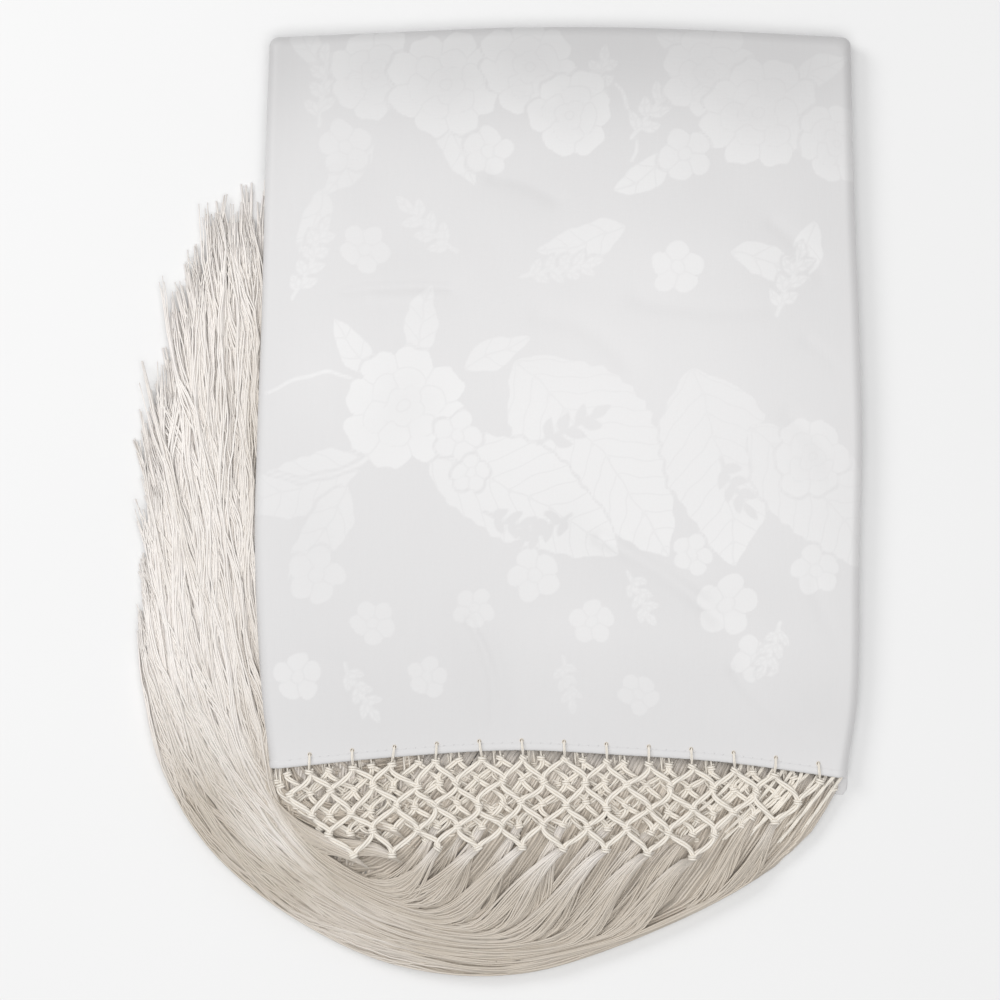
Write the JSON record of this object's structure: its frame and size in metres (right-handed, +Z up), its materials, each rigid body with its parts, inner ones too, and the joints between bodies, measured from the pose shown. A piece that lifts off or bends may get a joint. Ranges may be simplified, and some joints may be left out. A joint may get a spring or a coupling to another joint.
{
  "type": "folded flamenco shawl",
  "caption": "Fringed silk jacquard shawl folded to a flat rectangle, with a knotted net border and a long fringe swept round one side.",
  "frame": {"origin": "middle of the whole shawl's outline in plan, on the surface that it lies on", "axes": "+X across the folded cloth to the right, +Y from the hem towards the top fold, +Z up from the surface"},
  "size_m": [0.3511, 0.4524, 0.0165],
  "materials": {
    "silk_jacquard": "tone on tone silk jacquard, soft satin sheen",
    "hem_silk": "narrow rolled silk hem",
    "net_cord": "knotted ivory silk cord",
    "fringe_thread": "fine ivory silk thread with a soft shine"
  },
  "bodies": {
    "root": {"front_panel": "silk_jacquard", "folded_layers": "silk_jacquard", "back_panel": "silk_jacquard", "front_hem": "hem_silk", "net_front": "net_cord", "net_under": "net_cord", "fringe_1": "fringe_thread", "fringe_2": "fringe_thread", "fringe_3": "fringe_thread", "fringe_4": "fringe_thread", "fringe_5": "fringe_thread"}
  },
  "joints": []
}
